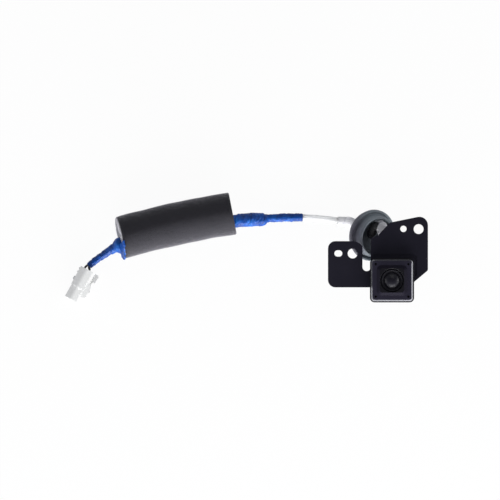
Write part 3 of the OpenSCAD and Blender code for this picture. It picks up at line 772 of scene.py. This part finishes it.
def makeFoam(s):
    bm = bmesh.new()
    bmesh.ops.create_grid(bm, x_segments=s["segments"], y_segments=s["segments"], size=0.5)
    for vert in bm.verts:
        share = vert.co.x + 0.5
        angle = (vert.co.y + 0.5) * fullTurn
        radius = foamRadius(s, share, angle)
        y, z = radius * math.cos(angle), radius * math.sin(angle)
        start = z * slantOf(s)
        vert.co = Vector((start + share * (s["length"] - start), y, z))
    bmesh.ops.remove_doubles(bm, verts=bm.verts, dist=weld)
    for atFarEnd in (False, True):
        ring = [e for e in bm.edges if e.is_boundary
                and (sum(v.co.x for v in e.verts) / 2 > s["length"] / 2) == atFarEnd]
        cutMouth(s, bm, ring, atFarEnd)
    bmesh.ops.bridge_loops(bm, edges=[e for e in bm.edges if e.is_boundary])
    bmesh.ops.recalc_face_normals(bm, faces=bm.faces)
    for vert in bm.verts:
        share = vert.co.x / s["length"]
        vert.co.x += share * vert.co.y * math.tan(math.radians(s["lean"]))
        vert.co.y += s["bow"] * (1 - (2 * share - 1) ** 2) + s["rise"] * share
        vert.co.z = max(vert.co.z, s["lowest"] - s["centre"][2])
    for face in bm.faces:
        middle = face.calc_center_median()
        inside = min(middle.x - middle.z * slantOf(s), s["length"] - middle.x)
        face.material_index = int(abs(face.normal.x) > s["cutFacing"] and inside < s["cutDepth"])
    bm.transform(foamPlace(s))
    piece = newPiece("foamSleeve", bm, s["skin"], smoothAngle=50)
    piece.data.materials.append(s["cut"].material)
    return piece


foamSleeve = makeFoam(foam)
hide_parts("foam_sleeve")

# fan of tape spread over the foam's slanted end and folded round its rim
flap = {
    "from": 80, "to": 218, "reach": 1.5, "lift": 0.25, "core": 2.2, "coreDrop": 1.1, "gap": 0.1,
    "thickness": 0.12, "steps": (44, 90), "length": 14, "pitch": 6,
    # ragged edge: its level, then the share and place in the noise of two ripples
    "even": 0.55, "ragged": [(0.45, (5, 2.3, 0.7)), (0.35, (17, 0, 4))],
    # wrinkles: their depth, coarse and fine, and how much of them shows round the rim
    "crinkle": 0.45, "coarse": (13, 2.2, 0), "fine": (31, 6, 5), "fineShare": 0.5, "foldShare": 0.6,
}


def ripple(x, y, z):
    return noise.noise(Vector((x, y, z)))


def makeFlap(s, host):
    bm = bmesh.new()
    bm.loops.layers.uv.new("UVMap")
    bmesh.ops.create_grid(bm, x_segments=s["steps"][0], y_segments=s["steps"][1], size=0.5, calc_uvs=True)
    y0, z0 = host["bore"]
    for vert in bm.verts:
        u, v = vert.co.x + 0.5, vert.co.y + 0.5
        angle = math.radians(s["from"] + (s["to"] - s["from"]) * v)
        dy, dz = math.cos(angle), math.sin(angle)
        ahead = y0 * dy + z0 * dz
        rim = -ahead + math.sqrt(ahead * ahead - (y0 * y0 + z0 * z0) + host["radius"] ** 2)
        ragged = s["even"] + sum(share * ripple(v * scale, y, z) for share, (scale, y, z) in s["ragged"])
        run = s["core"] + (rim + s["reach"] * ragged - s["core"]) * u
        out, along = min(run, rim + s["lift"]), max(0, run - rim)
        y, z = y0 + out * dy, z0 + out * dz
        coarse, fine = [ripple(v * across, u * inward, z) for across, inward, z in (s["coarse"], s["fine"])]
        wrinkle = max(0, s["crinkle"] * (coarse * u + s["fineShare"] * fine))
        base = z * slantOf(host) - s["lift"] - s["coreDrop"] * (1 - u) ** 2
        vert.co = Vector((base + along - wrinkle - s["gap"], y, z))
        if along > 0:
            vert.co.y += dy * wrinkle * s["foldShare"]
            vert.co.z += dz * wrinkle * s["foldShare"]
    bmesh.ops.recalc_face_normals(bm, faces=bm.faces)
    bmesh.ops.solidify(bm, geom=bm.faces[:], thickness=s["thickness"])
    bmesh.ops.recalc_face_normals(bm, faces=bm.faces)
    bm.transform(foamPlace(host))
    return newPiece("tapeFlap", bm, vinylTape("flapVinyl", s["length"], s["pitch"]), smoothAngle=60)


tapeFlap = makeFlap(flap, foam)
print("foam sleeve ready")


# panel grommet; its outline goes round from the floor's bore, in radius and height over its face
grommet = {
    "face": (-2.45, 12.88, 10.5), "lean": 33, "turn": -17, "steps": 128, "ease": 0.22,
    "outline": [[1.8, -5.2], [3, -5.2], [3.3, -4.9], [3.5, -4.4], [4, -4.1], [12.8, -4.1], [13.1, -3.8],
                [13.1, -3], [12.2, -3], [12.2, -1.9], [13.7, -1.9], [14, -1.6], [14, -0.7], [13.8, -0.3],
                [13.4, -0.05], [12.7, 0], [12.4, -0.5], [11.9, -0.7], [11.5, -0.4], [11.2, 0.3], [11.15, 1.2],
                [11.1, 4.8], [10.8, 5.25], [10.4, 5.4], [10.05, 5.3], [9.75, 4.9], [9.45, 0], [8.95, -1.6],
                [7.95, -2.5], [1.8, -2.9]],
}


def easedOutline(corners, ease):
    # three points in place of each corner
    line = []
    for i, p in enumerate(corners):
        before, after = corners[i - 1], corners[(i + 1) % len(corners)]
        reach = min(ease, (before - p).length * 0.4, (after - p).length * 0.4)
        a, b = p + (before - p).normalized() * reach, p + (after - p).normalized() * reach
        line += [a.lerp(p, t).lerp(p.lerp(b, t), t) for t in (0, 0.5, 1)]
    return line


def makeGrommet(s):
    bm = bmesh.new()
    verts = [bm.verts.new((p.x, 0, p.y)) for p in easedOutline([Vector(p) for p in s["outline"]], s["ease"])]
    edges = [bm.edges.new((verts[i - 1], v)) for i, v in enumerate(verts)]
    bmesh.ops.spin(bm, geom=verts + edges, cent=(0, 0, 0), axis=(0, 0, 1), angle=fullTurn, steps=s["steps"],
                   use_merge=True)
    bmesh.ops.remove_doubles(bm, verts=bm.verts, dist=weld)
    bmesh.ops.recalc_face_normals(bm, faces=bm.faces)
    lean = Matrix.Rotation(math.radians(s["turn"]), 4, "Z") @ Matrix.Rotation(math.radians(s["lean"]), 4, "Y")
    bm.transform(Matrix.Translation(Vector(s["face"]) * mm) @ lean @ Matrix.Scale(mm, 4))
    return newPiece("panelGrommet", bm, finishes["grommet_rubber"], smoothAngle=40)


panelGrommet = makeGrommet(grommet)
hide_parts("grommet")
print("grommet ready")


# camera's front case: square bezel round a raised lens surround
bezel = {
    "centre": (7.6, -11.3), "half": 11.8, "corner": 2.4, "ease": 0.9, "top": 29, "slack": 0.01,
    # way in from the outline against depth under the face: the CAD's eased edge, and what it becomes,
    # a ledge, a chamfer and a rounded brow
    "plain": [(0, 0.9), (0.044, 0.62), (0.172, 0.37), (0.371, 0.172), (0.622, 0.044), (0.9, 0)],
    "shaped": [(-0.12, 1.6), (0.42, 1.55), (0.5, 1.45), (1.12, 0.25), (1.3, 0.07), (1.6, 0)],
    "bevel": 0.06, "bevelBelow": 29.2, "smoothAngle": 12,
    "pitAt": 8.8, "pitRadius": 0.75, "pitTaper": 0.8, "pitDepth": 0.6, "pitSides": 24,
    # where each finish goes: way in, tilt and depth of the chamfer, depth of the side, then reach and level
    # of the surround's top, the pits, the lens field, the surround's corners and the brow
    "chamfer": (0.5, 1.15), "chamferTilt": (0.3, 0.7), "chamferDepth": 1.6, "sideDepth": 6,
    "surround": 7.6, "surroundLevel": 0.3, "pits": (7.5, 10), "pitLow": 0.3, "pitFloor": 1,
    "lensField": 6.9, "fieldDepth": 1.5, "cornerLevel": 0.1, "browLevels": (-0.05, 0.1), "flat": 0.95,
}


def rimInset(s, x, y):
    # distance in from the bezel's outline, in plan, and the way in
    cx, cy = s["centre"]
    flat = s["half"] - s["corner"]
    qx, qy = abs(x - cx) - flat, abs(y - cy) - flat
    if qx > 0 and qy > 0:
        out = Vector((qx, qy))
    else:
        out = Vector((max(qx, 0), 0)) if qx > qy else Vector((0, max(qy, 0)))
    if not out.length > 0:
        return s["corner"] - max(qx, qy), Vector((0, 0))
    way = out.normalized()
    return s["corner"] - out.length, Vector((-math.copysign(way.x, x - cx), -math.copysign(way.y, y - cy)))


def shapeRim(bm):
    # gives the bezel's eased edge its ledge and chamfer
    s = bezel
    for vert in bm.verts:
        x, y, z = vert.co / mm
        inset, way = rimInset(s, x, y)
        depth = s["top"] - z
        if not (-2 * s["slack"] < inset < s["ease"] + s["slack"] and depth > -2 * s["slack"]):
            continue
        level = min(range(len(s["plain"])),
                    key=lambda i: math.hypot(s["plain"][i][0] - inset, s["plain"][i][1] - depth))
        wanted, deep = s["shaped"][level]
        if depth > s["ease"] + s["slack"]:
            wanted, deep = s["shaped"][0][0], depth
        shift = way * (wanted - inset)
        vert.co = Vector((x + shift.x, y + shift.y, s["top"] - deep)) * mm


def pitFace(piece, s):
    # four blind pits in the corners of the bezel's face
    bm = bmesh.new()
    for across in (-1, 1):
        for along in (-1, 1):
            middle = Vector((*s["centre"], s["top"])) + s["pitAt"] * Vector((across, along, 0))
            bmesh.ops.create_cone(bm, cap_ends=True, segments=s["pitSides"], depth=2 * s["pitDepth"] * mm,
                                  radius1=s["pitRadius"] * s["pitTaper"] * mm, radius2=s["pitRadius"] * mm,
                                  matrix=Matrix.Translation(middle * mm))
    mesh = meshFrom("pitCutter", bm)
    cutter = newObject("pitCutter", mesh)
    cut = piece.modifiers.new("pits", "BOOLEAN")
    cut.object, cut.operation, cut.solver = cutter, "DIFFERENCE", "EXACT"
    others = [m for m in piece.modifiers if m != cut]
    for other in others:
        other.show_viewport = False
    graph = bpy.context.evaluated_depsgraph_get()
    pitted = bpy.data.meshes.new_from_object(piece.evaluated_get(graph))
    piece.modifiers.remove(cut)
    for other in others:
        other.show_viewport = True
    piece.data = pitted
    bpy.data.objects.remove(cutter)
    bpy.data.meshes.remove(mesh)


def skinOf(s, face, corners):
    # a face's finish: 0 plain, 1 chamfer with a painted highlight, 2 darker black with painted shade, 3
    # sloping brow with painted shade
    middle = face.center / mm
    height = middle.z - s["top"]
    inset = rimInset(s, middle.x, middle.y)[0]
    across = [abs(middle[i] - s["centre"][i]) for i in (0, 1)]
    reach = max(abs(c[i] - s["centre"][i]) for c in corners for i in (0, 1))
    low, high = min(c.z for c in corners) - s["top"], max(c.z for c in corners) - s["top"]
    tilt = face.normal.z
    if (s["chamfer"][0] < inset < s["chamfer"][1] and s["chamferTilt"][0] < tilt < s["chamferTilt"][1]
            and height > -s["chamferDepth"]):
        return 1
    side = inset < s["chamfer"][0] and height > -s["sideDepth"]
    surround = height > s["surroundLevel"] and reach < s["surround"] and tilt > s["flat"]
    pit = (min(across) > s["pits"][0] and max(across) < s["pits"][1] and low < -s["pitLow"]
           and height > -s["pitFloor"])
    field = reach < s["lensField"] and height > -s["fieldDepth"]
    corner = min(across) > s["lensField"] and height > s["cornerLevel"]
    # these faces take the near-black painted shade
    if side or surround or pit or field or corner:
        return 2
    return 3 if low > s["browLevels"][0] and high > s["browLevels"][1] else 0


frontCase = softened("frontCase", "front_case", finishes["case_plastic"], bezel["bevel"],
                     smoothAngle=bezel["smoothAngle"], reshape=shapeRim, bevelBelow=bezel["bevelBelow"])
pitFace(frontCase, bezel)
# bright metal-like chamfer strip: a painted highlight on the bezel's eased edge
for extra in (moulded("bezelPaintedHighlight", (178, 178, 184), 0.2, depth=0.00001, metallic=0.9),
              # near-black copy of the case plastic: painted shade on the bezel's ledge and sides, in the pits
              # and round the lens, shared by the surround's top and corners
              moulded("lensField", (17, 16, 22), 0.45, specular=0.2),
              # darker, nearly unreflective copy of the case plastic on the sloping brow: painted shade
              moulded("browPaintedShade", (28, 26, 36), 0.4, specular=0.03)):
    frontCase.data.materials.append(extra.material)
for face in frontCase.data.polygons:
    face.material_index = skinOf(bezel, face, [frontCase.data.vertices[v].co / mm for v in face.vertices])

# stamped and moulded pieces that keep the CAD's shape, with eased edges
easedNodes = [
    # name, node, slot, width of the eased edge, body
    ("stampedBracket", "bracket", "bracket_coat", 0.16, "kit"),
    ("rearCase", "rear_case", "case_plastic", 0.12, "kit"),
    ("plugHousing", "plug_housing", "plug_white", 0.12, "kit"),
    ("plugLatch", "plug_latch", "plug_white", 0.1, "latch"),
    ("plugRetainer", "plug_retainer", "retainer_grey", 0.06, "kit"),
]
# the latch is the plug's nylon painted greyer all over as painted shade, on top of the painted side shade
latchNylonPaintedShade = plugNylon("latchNylonPaintedShade", (190, 190, 190), (212, 212, 211))
eased = {}
for name, node, slot, width, body in easedNodes:
    finish = latchNylonPaintedShade if body == "latch" else finishes[slot]
    eased[node] = softened(name, node, finish, width, body)
print("eased pieces ready")


routeLength(leadRoute) * mm
for i, (wire, route) in enumerate(plugWires):
    pieces = [tapes[1]["piece"], eased["plug_housing"], eased["plug_latch"], eased["plug_retainer"],
              nodes["plug_terminals"]] if i == 0 else [eased["plug_housing"]]
    route[0] * mm
    routeLength(route) * mm
